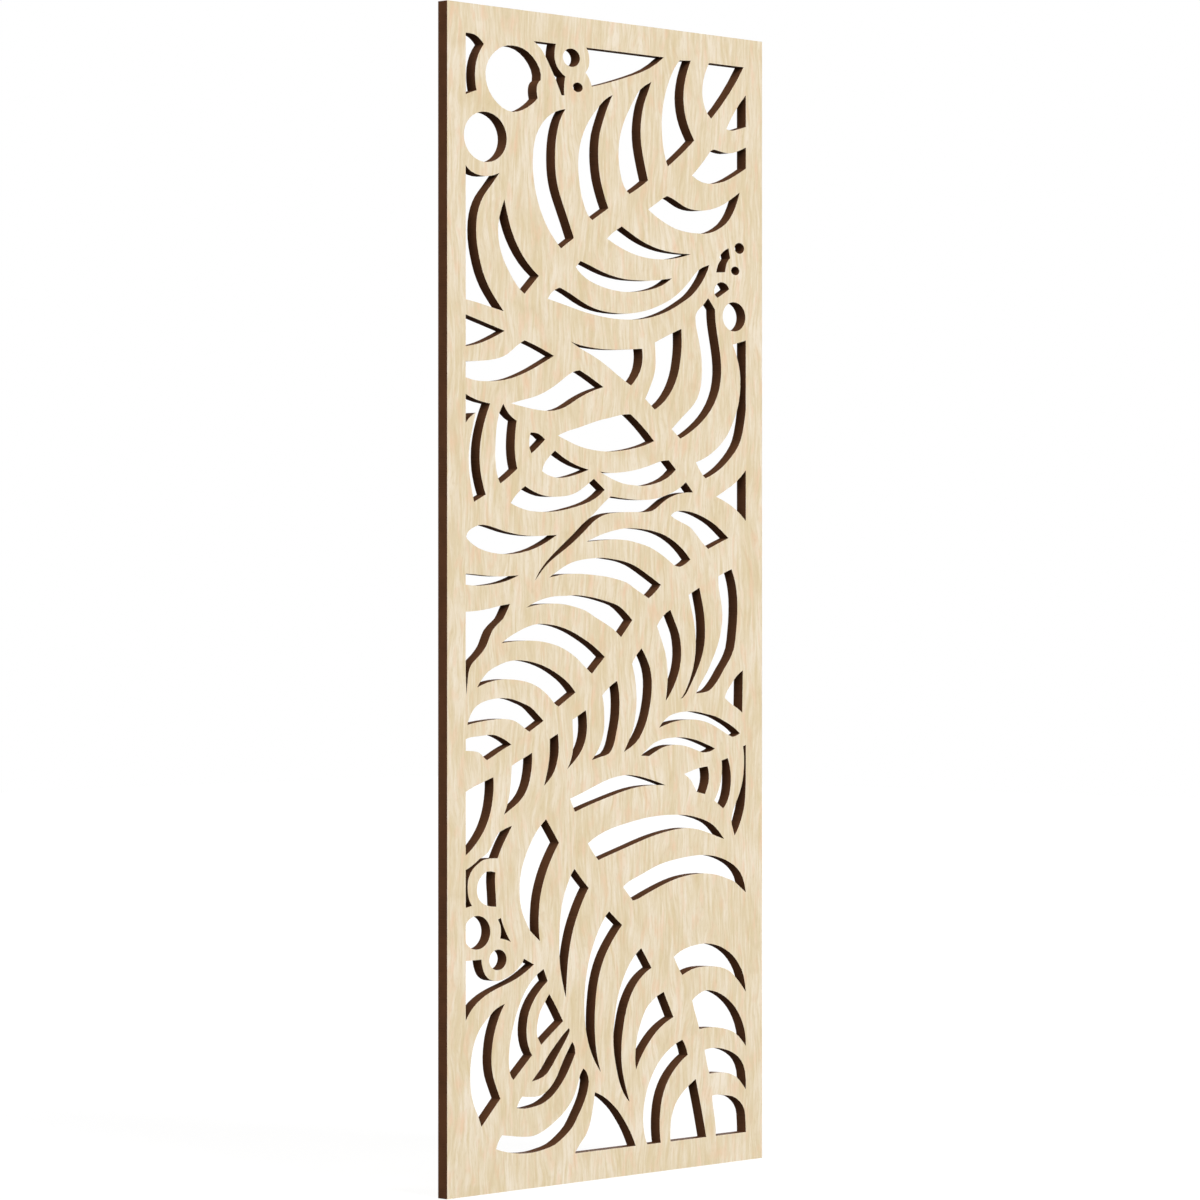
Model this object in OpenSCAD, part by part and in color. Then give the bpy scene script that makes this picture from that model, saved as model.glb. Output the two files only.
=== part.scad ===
// Fretwork wall panel: a thin veneered board pierced with a pattern of leaves, veins and bubbles.
// The board stands in the XZ plane. Its face looks along -Y and its back lies on the plane y = 0,
// with the origin at the middle of the back. All sizes are millimetres.

/* [Panel] */
// Width of the panel
panel_w = 240; // [200:1:320]
// Height of the panel
panel_h = 600; // [480:1:760]
// Thickness of the whole board
board_t = 6.4; // [5.8:0.1:12]
// Thickness of the veneer on the face
face_t = 0.6; // [0.4:0.1:1]
// Thickness of the veneer on the back
back_t = 0.6; // [0.4:0.1:1]

/* [Solid border round the pattern] */
// Width of the left and right borders
stile_w = 13.2; // [12:0.1:20]
// Height of the top border
top_rail_h = 15; // [12:0.5:30]
// Height of the bottom border
bottom_rail_h = 15; // [12:0.5:30]

/* [Keyhole hangers] */
// Height of a hanger plate
hanger_h = 34; // [30:0.5:50]
// Width of a hanger plate
hanger_w = 10; // [9.2:0.1:11]
// Thickness of a hanger plate
hanger_t = 1.2; // [1.1:0.1:1.6]
// Distance from the panel's top edge to the top of a hanger plate
hanger_drop = 8; // [5:0.5:60]
// Diameter of the round entry of the keyhole
entry_d = 7.5; // [6.6:0.1:8]
// Width of the keyhole's slot
slot_w = 3.8; // [3:0.1:4.2]
// Distance from the entry's centre to the top centre of the slot
slot_rise = 6.5; // [5:0.5:8]
// Depth of the room for the nail's head behind the plate
head_room = 2.4; // [1.8:0.1:2.8]
// Gap between the entry's rim and the side of the room behind it
head_gap = 0.5; // [0.3:0.1:0.6]

/* [Hanger screws] */
// Diameter of a screw's shank
screw_d = 2.2; // [2:0.1:2.4]
// Diameter of a screw's countersunk head
screw_head_d = 4.4; // [3.8:0.1:4.6]
// Length of a screw
screw_len = 4.4; // [3.6:0.1:4.8]
// Width of the slot in a screw's head
drive_w = 0.6; // [0.4:0.1:0.8]
// Depth of the slot in a screw's head
drive_depth = 0.5; // [0.3:0.1:0.6]

/* [Fits] */
// Gap all round a hanger plate in its recess
recess_gap = 0.1; // [0.05:0.05:0.3]
// Gap all round a screw in its hole
screw_gap = 0.05; // [0.03:0.01:0.1]

/* [Hidden] */
// Straight pieces in each span of a curved outline
curve_steps = 2;
// Straight pieces round a bubble
bubble_steps = 40;
// A cut runs this far past the surface that it opens
over = 1;
$fn = 48;

// The keyhole is centred on its plate, and each screw stands midway between the keyhole and the plate's end
keyhole_half = (slot_rise + slot_w / 2 + entry_d / 2) / 2;
entry_z = entry_d / 2 - keyhole_half;
slot_z = entry_z + slot_rise;
room_w = entry_d + 2 * head_gap;
screw_z = (hanger_h / 2 + keyhole_half) / 2;
hanger_x = (panel_w - stile_w) / 2;
hanger_z = panel_h / 2 - hanger_drop - hanger_h / 2;

// The pattern is drawn on a sheet, and these are its edges. The sheet is laid over the panel's open
// field, which may have another size, and the pattern follows the field.
sheet_left = 13.2;
sheet_right = 226.8;
sheet_bottom = 15;
sheet_top = 585;

// Each opening is a list of strokes. A stroke starts at a corner and runs smoothly through its points
// to the first point of the next stroke, and the last stroke closes the outline.

// The large leaf at the top: its upper cells, then its lower ones, from the stem to the tip
upper_leaf = [
    [[[41.2, 502.9], [43.3, 495.5], [46.3, 487.5], [50.9, 479.7], [57.7, 471.9]],
     [[66.4, 465.4]],
     [[55.8, 455.7], [50.3, 459.8], [45, 465.8], [40.5, 472.4], [37.6, 479.2], [36.5, 486.5], [37.5, 494]]],
    [[[86.2, 552.1], [82.6, 547], [80.2, 541], [78.8, 534], [78.4, 526], [79, 518], [80.9, 510.5],
      [84.3, 503], [88.3, 495]],
     [[92.5, 486.2]],
     [[82.8, 480.3], [78.3, 484.4], [73.3, 489.8], [69, 496.3], [65.6, 503.5], [63.2, 511.5], [61.9, 520],
      [62.2, 529], [64.2, 536.6], [67.6, 542], [72.5, 546.8], [78.5, 550.1]]],
    [[[121.8, 562.1], [118.3, 556.2], [115, 549.2], [112, 541.5], [110.9, 534], [111, 526.5],
      [112.3, 518.5], [115, 510.7]],
     [[118.6, 503.1]],
     [[106.4, 496.2], [102.8, 499], [100, 503.8], [97.7, 510.2], [96.2, 517.5], [95.7, 525.5],
      [96.8, 533.5], [99.7, 541], [104.3, 548], [109.5, 553.5], [115.3, 558.7]]],
    [[[151.6, 571.3], [148.9, 565.4], [145.9, 559.2], [144.1, 552.3], [143.3, 545], [144, 537],
      [146.2, 528.5]],
     [[149.1, 519.5], [142, 515.2]],
     [[134.9, 511.5], [130.5, 515.3], [127.8, 521.5], [126.3, 530], [126.9, 538.5], [129.4, 546.5],
      [133.2, 553.5], [138, 560.5], [142.5, 566.2]]],
    [[[174, 584.4]],
     [[182.6, 585], [179.6, 578.6], [177.6, 572], [176.8, 565], [177.7, 557.8], [180.3, 550.8]],
     [[185.3, 543], [178.5, 537.6], [171, 532.2]],
     [[164.6, 527.9], [162.8, 531.5], [161, 537.5], [160, 544], [159.7, 551], [160.6, 558.5],
      [162.6, 566], [165.6, 573], [169.6, 579.8]]],
    [[[197, 585]],
     [[225, 585], [213.1, 569.7]],
     [[198.8, 555.5]],
     [[195.4, 558.4], [192.8, 563.3], [191.7, 569], [192.6, 575.6], [194.7, 580.7]]],
    [[[73, 454], [76.4, 457.8]],
     [[82, 460.2], [90, 457.4], [98.5, 453.7], [107, 450.9], [116, 449.4], [126, 448.9], [134.5, 449.2],
      [143, 450.4], [151, 452.2], [159.5, 455], [167.5, 458.4], [175, 463], [181.5, 468.2], [188, 474.2]],
     [[197.4, 477.8], [194.3, 472], [189.7, 466.4], [183.5, 461], [176, 456.9], [167.5, 452.9],
      [158, 449.6], [148, 447.3], [138, 446.2], [128, 445.9], [118, 446.3], [108, 447.4], [98, 448.9],
      [88, 451], [80, 452.6]]],
    [[[97.5, 474.7], [105, 472.6], [112.5, 470.3], [121, 468.3], [131, 467], [141, 466.8],
      [150.5, 467.1], [159, 468]],
     [[167.6, 469.2], [159.8, 465], [150.7, 462.4], [141.5, 461], [132, 460.3], [122.5, 460.8],
      [113.5, 462.2], [105, 464.5], [98.5, 467.6]],
     [[93.9, 471.4]]],
    [[[117.6, 487.3], [122, 490.6]],
     [[128.8, 494.3], [135.5, 491.2], [143.5, 487.8], [152.5, 485.1], [162, 483.4], [172, 482.7]],
     [[182.4, 482.6], [175.5, 480.9], [168, 479.5], [159, 478.7], [150, 478.8], [141, 479.8],
      [132, 481.9], [124.5, 484.4]]],
    [[[149.2, 504.4], [155, 507.6], [159.8, 510.4]],
     [[164, 512.3], [170, 510.6], [176.5, 507.9], [183, 506.4], [190.5, 506.2], [198, 507.2],
      [206, 509.5], [213.5, 513]],
     [[221.8, 517.8], [219.7, 512.5], [216.2, 506.2], [210.9, 500.6], [203.5, 496.6], [196.2, 494.5],
      [189, 494], [179.5, 494.2], [170, 495.6], [162, 498.2], [155, 501.2]]],
    [[[226.8, 542.2]],
     [[226.8, 530.9], [218.5, 526.7], [210, 523.1], [200.5, 521.1], [191.5, 521.3]],
     [[183.6, 524.4], [190.3, 530.2]],
     [[198.2, 538.1], [201.5, 539.3], [207, 538.5], [213, 538.1], [219.3, 539.4]]],
    [[[226.8, 570.2]],
     [[226.8, 553.2], [220.3, 551.4], [215.5, 550.4]],
     [[211, 550.9], [217.5, 560.4]]]
];

// The leaf across the middle: the cells above its rib, then those below, then its veins
middle_leaf = [
    [[[13.2, 419.9], [21, 420.3], [30, 421.1], [38, 422.6], [44, 425], [49.5, 428.7]],
     [[55.8, 432.1], [63, 430.1], [70, 427.8]],
     [[77.6, 425], [70, 421.4], [62, 417.8], [54, 414.8], [46, 412.4], [38, 411], [30, 410.4],
      [21.5, 410.4]],
     [[13.2, 411.8]]],
    [[[46, 399.7], [53.5, 401.5], [62, 403.3], [70, 405.9], [78, 409.6], [85.5, 414], [91, 416.9]],
     [[96.8, 418.3], [105, 414.9]],
     [[114.8, 410.2], [104.5, 407.3], [95, 403.4], [86.5, 399.2], [78, 397], [70, 396.7], [62, 397.3],
      [54, 398.4]]],
    [[[80.6, 384.2], [88, 386.8], [96, 388.7], [104, 390.9], [112, 393], [120, 394.5], [128, 396.1]],
     [[135.6, 396.7], [144.5, 390.8]],
     [[153.8, 383.2], [146, 380.7], [136.5, 378.7], [126.5, 377.4], [116.5, 376.9], [106.5, 377.5],
      [97, 379], [88.5, 381.5]]],
    [[[112, 366.4], [120, 365.8], [128, 366.3], [136, 367.2], [144, 368.7], [151.5, 370.6],
      [158.5, 372.6]],
     [[165.3, 373.4]],
     [[170.9, 368.6], [163.8, 363.9], [155.3, 361.1], [146.1, 359.6], [138, 359.8], [130, 360.5],
      [121.5, 362.7]]],
    [[[63.6, 309.8], [66.9, 314.6], [72.3, 319.8], [78.7, 324.6], [85.2, 329.2], [91.9, 333.8],
      [98.1, 338.5], [103.9, 342.1], [107.3, 344.3], [110.8, 347], [114.5, 349.8]],
     [[120.4, 353.7], [130, 352.8], [140, 352.2], [150, 352.4], [158.5, 353.7], [166, 355.8],
      [172.5, 358.3]],
     [[178.8, 362.1]],
     [[184.4, 356.8], [176.5, 356.4], [169.5, 355], [163, 352.5], [157.5, 349.2], [152.3, 346.6],
      [146, 345.9], [138, 345.8], [129, 345.6], [120, 344.9], [113, 343.2], [107.3, 340.4],
      [101.4, 336.1], [94, 330.9], [86.4, 326.3], [78.3, 321.8], [71.3, 317.2]]],
    [[[90, 432.9], [97, 431.3], [105, 430.4], [113.5, 429.9], [122, 429.9], [131, 430.3]],
     [[144.4, 431.2], [144.9, 427], [144, 421.7], [141.2, 416.8]],
     [[136, 411.7], [131.5, 413.8], [126, 416.6], [119.3, 420.3], [112.3, 423.8], [104.8, 426.9],
      [97.3, 429.6]]],
    [[[154.4, 434.9], [164.5, 439]],
     [[175.2, 442.9], [175.4, 433.5], [174.3, 425.5], [172.3, 418.3], [168.3, 411], [162.3, 404.6]],
     [[154.4, 399.7]],
     [[146.9, 405.1], [150.3, 410.8], [153, 416], [154.8, 421.5], [154.9, 428]]],
    [[[196.4, 460.1]],
     [[201.9, 454.4], [202.6, 446.5], [204.5, 438], [206.4, 429], [206.9, 420.5], [205.3, 412],
      [201.3, 404.2], [195.3, 397.5], [188, 392], [180.5, 387.7]],
     [[174.3, 385]],
     [[167.5, 389.8], [175.5, 396.1], [182.5, 401.2], [187.7, 406.5], [190.6, 413.5], [191.6, 421.5],
      [190.9, 430], [188.8, 438], [187, 444], [186.3, 449.5], [187.9, 452.9], [192.3, 456.2]]],
    [[[216, 436.2], [221, 437.4]],
     [[226.8, 438.9]],
     [[226.8, 402], [224.2, 389.5], [220.8, 382.3], [215, 376.2], [208, 370.8], [201, 367]],
     [[194.4, 364.4], [190.6, 367.6]],
     [[186.6, 372.8], [193, 374.9], [199.5, 378], [206, 382.4], [211.5, 387.5], [215.5, 393.3],
      [219.2, 400.3], [221.3, 406.5], [222.3, 414], [221.8, 422.5], [219.4, 430]]],
    [[[202.8, 354.8], [211, 358.7], [219, 363]],
     [[226.8, 369.4]],
     [[226.8, 342.2], [219, 348], [211, 351.9]]]
];

// Cells of the small leaf at the left edge, under the middle leaf
side_leaf = [
    [[[13.2, 403.5], [21, 400.8]],
     [[30.8, 399.1], [28, 393.1], [25.5, 386.3], [23.8, 379.4], [23.2, 372.5], [23.7, 365.5],
      [25.3, 359.1]],
     [[27.6, 353.1]],
     [[19.2, 349.3], [17.7, 354.7], [16.1, 362.1], [15.3, 370.5], [16, 378.4], [17.9, 386.1]],
     [[20.4, 394.2], [16.8, 392.3]],
     [[13.2, 389]]],
    [[[40.3, 399.4], [44.5, 394.3]],
     [[50.1, 391], [49, 384], [48.7, 377.3], [49.3, 371.5]],
     [[50.6, 366.6], [44.3, 362.4]],
     [[38.2, 358.9], [35.8, 363.5], [34.6, 370.5], [34.6, 378], [35.2, 386]],
     [[37.4, 394.6]]],
    [[[71, 382], [66.2, 378.2]],
     [[60.9, 374.6], [59.2, 379.3]],
     [[60.3, 385.3], [66, 384.8]]],
    [[[78.4, 376.5], [85.5, 372.7], [94, 369.4]],
     [[103.7, 367.2], [93.5, 364.3], [83.5, 362.6], [75.5, 363.2]],
     [[68.8, 365.7], [71.3, 370.7]]],
    [[[56.3, 357.9], [63, 355.1], [70.5, 353.2], [78, 352.8], [86, 353.3], [92.5, 354.6],
      [98.5, 357.2]],
     [[107.6, 362.6]],
     [[115.8, 357], [108.6, 352.4], [100.2, 349.4], [90, 347.1], [80, 345.4], [70, 344.9], [60, 345.3],
      [52, 346.9]],
     [[45.7, 349.1], [50.3, 353.8]]],
    [[[79.8, 333.3], [73, 329.9], [64, 326.4], [54, 324.1], [43, 323.1], [32, 323.8], [22.5, 326],
      [16, 329.3]],
     [[13.5, 331.7], [15.5, 334.7]],
     [[20, 336.9], [25.5, 337.9], [33, 336.7], [42, 334.6], [52, 333.1], [63, 332.5], [72.5, 332.9]]]
];

// The leaf below the middle: the cells above its rib, then those below
lower_leaf = [
    [[[167, 344.3], [169.6, 346.1]],
     [[174, 346.9], [180.5, 346.7], [188, 345.3], [195.5, 342.8], [203, 339.4]],
     [[212.7, 332.9], [204.5, 330]],
     [[196.5, 327], [191.5, 330.5], [187, 334.6], [182, 338.4], [176, 340.6], [170.5, 342.5]]],
    [[[102.2, 330], [108.5, 332.3], [115.5, 334.4], [123, 336], [131, 337.2], [139, 337.3],
      [147, 336.8], [155, 335.7], [162.5, 333.8], [169.5, 330.8], [176, 326.8]],
     [[182.3, 321.3], [178.3, 318.9]],
     [[173.8, 317.3], [169, 318.5], [164, 321.4], [157.5, 324.7], [150, 327.7], [142, 329.5],
      [133, 331], [123, 331.4], [112.5, 330.8]]],
    [[[74.1, 311.4], [79, 314], [84.5, 316.8], [91, 319.2], [98, 320.6], [106, 321.4], [114, 321.8],
      [122, 321.1], [130, 320.1], [138, 318.1], [146, 314.6]],
     [[159.1, 307.9], [154.5, 303.9]],
     [[149.6, 300.8], [144, 303.4], [138, 306.3], [132.5, 309], [126, 310.5], [118, 311.9],
      [108, 312.8], [97, 313.4], [86, 313.2], [79.5, 312.3]]],
    [[[57.2, 296], [63.5, 298.7], [70.5, 300.6], [78, 301.8], [86, 302], [94, 302.4], [102, 301.8],
      [110, 300.7], [118, 299.1], [126, 297], [131.7, 293.6]],
     [[136.9, 289.4]],
     [[128.3, 280.5], [122.5, 284.6], [116, 287.8], [109, 290.8], [101.5, 294.3], [93.5, 296.3],
      [85, 297.7], [76, 298.1], [66.5, 297.6]]],
    [[[39.1, 278], [45, 281.4], [51.5, 284], [58.5, 286.4], [66, 287.7], [74, 287.4], [82, 286.2],
      [90.5, 283.8], [99, 280.3], [107.5, 276]],
     [[115.8, 270.4]],
     [[106.1, 261.8], [100.5, 265.6], [94.5, 270], [88, 273.5], [81, 276.2], [73, 278], [65, 279],
      [56.5, 279.2], [47, 278.8]]],
    [[[21.3, 255.8], [25, 260], [29.5, 263.8], [35.5, 266.4], [42.5, 268.5], [50, 269.3], [58, 268.8],
      [66, 267.3], [74, 264.8], [82, 261.1], [88.5, 257.1]],
     [[93.7, 252.3], [88.5, 249.4], [84.2, 247]],
     [[81, 245.2], [77.5, 247.3], [73, 251.2], [67, 254.9], [60, 257.6], [52.5, 259], [44, 259.7],
      [36, 259.4], [28.5, 258.1]]],
    [[[14.4, 237.1], [15.6, 240.2], [18, 244], [21.5, 246.8], [26.5, 248.7], [33, 249.9], [40, 250.2],
      [47.1, 249.5], [54.2, 247.5], [60.3, 245.3], [65.3, 241.7]],
     [[69.8, 238.1], [64.6, 235.4]],
     [[59.4, 232.8], [55.6, 234.8], [52, 236.9], [47.5, 238.8], [40, 239.7], [31, 239.3],
      [22.5, 238.4]]],
    [[[13.2, 229.9], [16.5, 230.8], [23, 231.3], [30, 231.8], [35, 231.4], [41, 229.3]],
     [[46.2, 226.5], [40, 224.2], [34, 221.4]],
     [[28.5, 219], [26, 220.6], [23, 222.9], [19.5, 223.7]],
     [[13.2, 224.1]]],
    [[[204.5, 312.5], [209.5, 314.4]],
     [[215.2, 316.3], [218.3, 309], [219.8, 301], [219.9, 292.5], [219, 283.5], [217.3, 274.3],
      [213.5, 268], [209.3, 263.2], [205.4, 258.5], [201.3, 254.5], [197.5, 251.9], [193, 250.9]],
     [[186.8, 250.5], [190.3, 255.5], [195.5, 261.6], [200, 268.5], [204, 275.8], [206.9, 284],
      [207.8, 292], [206.7, 299.5], [205, 306]]],
    [[[180.9, 302.6], [184, 304]],
     [[189.5, 306.4], [191.5, 299.5], [193.3, 292], [194, 284], [193.4, 276], [190.8, 268.5],
      [186.8, 261.4], [182.2, 254.6], [178.3, 249.7]],
     [[174.5, 247.7], [178, 251.2], [181.4, 256.8], [184.4, 263.5], [186.3, 272], [186.4, 280],
      [185.2, 288], [183, 295.5]]],
    [[[156, 286.2], [160.5, 291.2]],
     [[166.5, 294.7], [170.3, 288], [173.5, 282], [175, 274.5], [174.7, 267.5], [172.8, 261],
      [169.7, 255.2], [166.5, 250.7]],
     [[162.9, 246.9], [163.8, 252.5], [164.4, 258.5], [164.2, 265], [162.6, 272], [159.7, 278.7]]],
    [[[136.7, 266.6], [139.3, 270.2]],
     [[144.1, 274.7], [148, 269.3], [150.7, 264], [152, 257.8], [151.8, 251], [150.5, 244],
      [148.2, 237], [144.5, 230.5], [139.5, 225.3]],
     [[130.4, 220.8], [134, 226.2], [137.2, 231.8], [139.2, 238.5], [140.1, 245.5], [140, 252.5],
      [138.8, 260]]],
    [[[113.8, 250.4], [119, 254.5]],
     [[125.2, 257.9], [126.8, 251.5], [127.1, 244.5], [126.4, 237.5], [124.6, 230.5], [122.6, 224.5],
      [119.1, 220.2], [113, 218.7]],
     [[106, 217.2], [108.8, 220], [111.8, 223.8], [114, 228.2], [115.4, 234], [115.4, 241],
      [115, 246.5]]],
    [[[91.4, 238.3], [96, 240.4]],
     [[101.4, 243], [102.3, 237.5], [102.2, 232], [100.9, 227], [98.2, 222.3], [94, 218]],
     [[87.3, 212.8], [90.2, 217.5], [91.8, 223], [92, 229], [91.6, 234]]],
    [[[74.5, 228.7]],
     [[80.5, 231.3], [81.1, 226.5], [81.1, 222], [80.2, 218], [78.8, 214], [76.2, 209.9]],
     [[70.2, 204.8], [71.8, 209.5], [73.3, 214.5], [74.2, 219.5], [74.5, 224]]],
    [[[46.5, 215.7], [50, 217.4], [55, 219.3]],
     [[61.4, 222], [61.3, 216.3], [60.4, 210.7], [58.6, 205.3], [55.5, 200.5], [51, 196.7],
      [46, 193.9]],
     [[40.8, 191.1], [43, 195.5], [44.6, 200.5], [45.4, 205], [46, 210]]],
    [[[13.2, 203.5], [20, 206.2], [26.2, 208.2]],
     [[33.1, 210.3], [33.3, 205], [32.6, 199], [31.3, 193.5], [29.2, 188.3], [26.2, 183.3],
      [22.3, 178.8], [17.9, 174.8]],
     [[13.2, 171.5]]]
];

// The leaf at the lower right: the cells left of its rib, then those right of it
bottom_leaf = [
    [[[68.1, 185]],
     [[71.7, 187.8], [76.5, 181.7]],
     [[81.3, 175.4], [76.8, 169.2], [72.8, 162.5], [69.7, 155.6], [67.5, 148.5], [66.5, 141.5],
      [66.2, 133.5]],
     [[67.2, 125.7], [63.5, 128.5], [60, 131.3]],
     [[57, 135.8], [54.3, 140.5], [52.7, 146], [52.1, 152], [52.6, 158.5], [54.4, 165], [57.4, 171.3],
      [61.3, 177.5], [64.8, 181.9]]],
    [[[90.4, 158.6]],
     [[92.9, 161.5], [98, 156.4]],
     [[103.6, 151.2], [99.6, 145.5], [95.7, 138.6], [92.4, 131.5], [90, 124], [88.4, 116.5],
      [87.4, 108.5], [86.9, 101.5]],
     [[86.5, 95.6], [84.3, 102.5], [82.5, 110], [81.6, 117.5], [81.6, 126], [82, 134], [83.2, 142],
      [85.6, 149.5]]],
    [[[116.5, 136.2]],
     [[119.2, 138.4], [124, 134.6]],
     [[129.1, 130.8], [124.3, 126], [119.2, 120], [115.2, 114], [112.2, 107.5], [110, 100],
      [108.8, 92], [108.2, 84], [108.3, 76.5], [109, 69.5], [110.4, 62.5]],
     [[112.9, 55.3], [109, 60.3], [105.7, 65.8], [103.1, 72], [101.3, 79], [100.4, 86.5], [100.4, 94],
      [101.3, 103], [103.5, 112.7], [106.9, 121.2], [111.1, 129]]],
    [[[139.8, 115.2]],
     [[143.8, 118]],
     [[151.8, 107.2], [145, 103.6], [139.6, 98.9], [135.5, 93.2], [132.5, 87], [130.4, 79.5],
      [129, 72], [128.5, 64.5], [129, 57], [130.8, 49.5]],
     [[134.8, 38.3], [130.4, 43], [126.9, 49.5], [124.6, 57], [122.9, 65], [122.3, 73], [123, 81],
      [124.6, 89.5], [127.2, 97.3], [131.3, 105.2], [135.3, 110.8]]],
    [[[156, 92.1]],
     [[161.3, 94]],
     [[168.9, 80.3], [162, 77.4], [155.5, 73.4], [149.5, 68], [144.3, 62]],
     [[139.8, 54.7], [139.2, 60.5], [139.7, 67], [141.2, 73.5], [143.7, 79.5], [147.3, 85.7],
      [151.3, 89.2]]],
    [[[170.8, 66.2]],
     [[175.9, 67.9], [178.5, 64.3]],
     [[180.2, 59.6], [174, 56], [168, 51], [163.2, 45], [160, 38], [158.5, 30.5], [158.2, 22.5]],
     [[159, 15]],
     [[148.6, 15], [146.3, 20.5], [145.2, 28], [145.9, 35.5], [148, 42.8], [151.6, 50], [156.5, 56.5],
      [163, 62]]],
    [[[180.6, 43.1]],
     [[186.5, 46.4], [189.2, 37], [192, 26.8]],
     [[194.9, 15]],
     [[166.6, 15], [166.5, 21], [167.4, 27.5], [170.2, 34], [174.8, 39]]],
    [[[103, 174.2], [111, 178.2], [120, 181.1], [130, 183.2], [140, 184.9], [150, 186.2],
      [160, 186.8], [170, 186.8], [180, 186.2], [188, 184.7], [195.5, 182.6], [202, 179.3]],
     [[209.2, 172.6], [203, 174.4], [196.5, 176.4], [189, 178.3], [180, 179.5], [171, 179.1],
      [161, 177.8], [149, 175.4], [136, 172], [122, 168.3]],
     [[111, 165.3], [106.8, 169.4]]],
    [[[129.8, 150.5], [134, 153.1], [140, 155.2], [146, 157.2], [152, 159.3], [158, 161.1],
      [165, 162.5], [173, 163.6], [181, 164.4], [190, 164.8], [199, 164.2], [207, 162.5],
      [214, 159.9], [219.8, 156.5], [224.2, 151.5]],
     [[226.8, 143.4], [222.5, 146.2], [217.5, 149.5], [211, 151.7], [203, 153.8], [194, 154.9],
      [185, 154.8], [176, 153.9], [168, 152.3], [159, 149.8], [149, 146.5], [142, 144]],
     [[137.3, 143.1], [133.5, 146.8]]],
    [[[169.2, 111.9], [174, 114.5], [180, 116.3], [187, 117.4], [195, 117.7], [203, 116.4],
      [210, 113.9], [216.5, 109.9], [221.5, 104.8], [225, 98.8]],
     [[226.8, 90], [223, 94.2], [218, 98.8], [213, 102.3], [206, 104.5], [198, 105.4], [190, 105.5],
      [183, 104.5]],
     [[176, 102], [173, 105.8]]],
    [[[183.7, 88.2], [188.5, 91.1], [194, 92.8], [200.5, 92.2], [207, 90], [213, 86.6], [218.5, 82],
      [223, 76], [226, 69]],
     [[226.8, 61.1], [223.5, 64.4], [218.5, 68.4], [212, 70.9], [204, 72.5], [196.5, 73]],
     [[189.5, 72.6], [187.5, 77.8], [185.3, 83.2]]],
    [[[193.5, 61.3], [199, 61.9], [205, 61.5], [212, 59.9], [218, 57.4], [223, 53.6], [226.2, 47.5]],
     [[226.8, 37.8], [223.5, 41.3], [219.3, 45], [213.5, 47.3], [206.5, 48.5]],
     [[197.5, 48.4], [195.9, 52.5], [194.6, 57]]],
    [[[199.6, 36.6], [204.5, 36.8], [210, 36], [216.3, 34.9], [222, 31.7], [225.6, 27.2], [226.5, 21.5]],
     [[226.8, 15]],
     [[202.6, 15], [202.3, 20.5], [201.3, 26.5], [200.1, 32]]]
];

// The small leaf at the lower left: its outer cells, then its inner ones
corner_leaf = [
    [[[31.3, 90.4], [35.5, 93.2]],
     [[41.6, 95.3], [38.3, 90.8], [35.4, 85], [33.2, 78.8], [32, 72], [31.8, 65.5], [32.9, 59],
      [35.4, 53.2]],
     [[38.2, 47.4]],
     [[24.5, 34.3], [22.2, 39.7], [19.6, 44.3], [17.6, 49.6], [16.5, 56], [16.4, 63], [17.3, 70],
      [19.4, 77], [22.7, 82.8], [26.8, 86.9]]],
    [[[65, 108.7]],
     [[69.9, 111.3]],
     [[72.9, 104.9], [67.3, 100.6], [62.5, 95.5], [59.2, 90], [57.6, 84], [57.4, 78], [58.8, 72.3]],
     [[61.4, 67.8]],
     [[47.7, 56.2], [45.2, 59.8], [44.4, 65.5], [44.8, 72.5], [46.3, 79.5], [48.5, 86], [51.2, 92.3],
      [54.7, 98.4], [59.3, 104]]],
    [[[70.8, 94.2]],
     [[74.1, 98.3], [79.5, 91]],
     [[84.4, 83.6], [76.5, 78.4]],
     [[68.1, 72.6]],
     [[65.3, 76.8], [64.8, 80.5], [65.7, 85.5], [67.6, 90.2]]],
    [[[61.1, 54.4], [65.3, 58.3], [69.4, 62.3], [72.9, 66.4], [77.8, 71], [83.3, 75.9]],
     [[88.9, 79.9], [89, 77.6], [86.3, 73.7], [82.1, 68.5], [78.3, 64], [74.7, 59.8], [70, 56.3]]],
    [[[54.1, 47.3], [60, 46.6], [66.5, 46.6], [71.5, 48.2], [76, 51.4], [80, 56], [83.5, 61.9],
      [87.2, 67.2]],
     [[91.2, 72.6], [92.9, 70.2]],
     [[93.6, 66.6], [90.3, 61], [86.3, 55.2], [81, 49.6], [75, 45.1], [68.5, 42.4], [61.5, 41.3],
      [55.5, 41]],
     [[50.2, 41.8], [51.9, 44.9]]],
    [[[39.4, 28.8], [46, 27.9], [54, 26.8], [62.5, 26.6], [70, 28.6], [77, 31.9], [83.5, 35.7],
      [89, 40.2], [93, 45.2], [95.6, 51], [97.2, 55.2]],
     [[99.6, 58.2], [102.3, 55.8]],
     [[103.8, 51.4], [102.5, 45.8], [99.8, 40.3], [96, 34.7], [91.5, 28.8], [85.4, 24.4], [78.2, 20.7],
      [70, 19], [61.5, 18.1], [52.5, 18.4], [43, 19.9]],
     [[35.1, 22.1], [36.9, 25.9]]]
];

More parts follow.
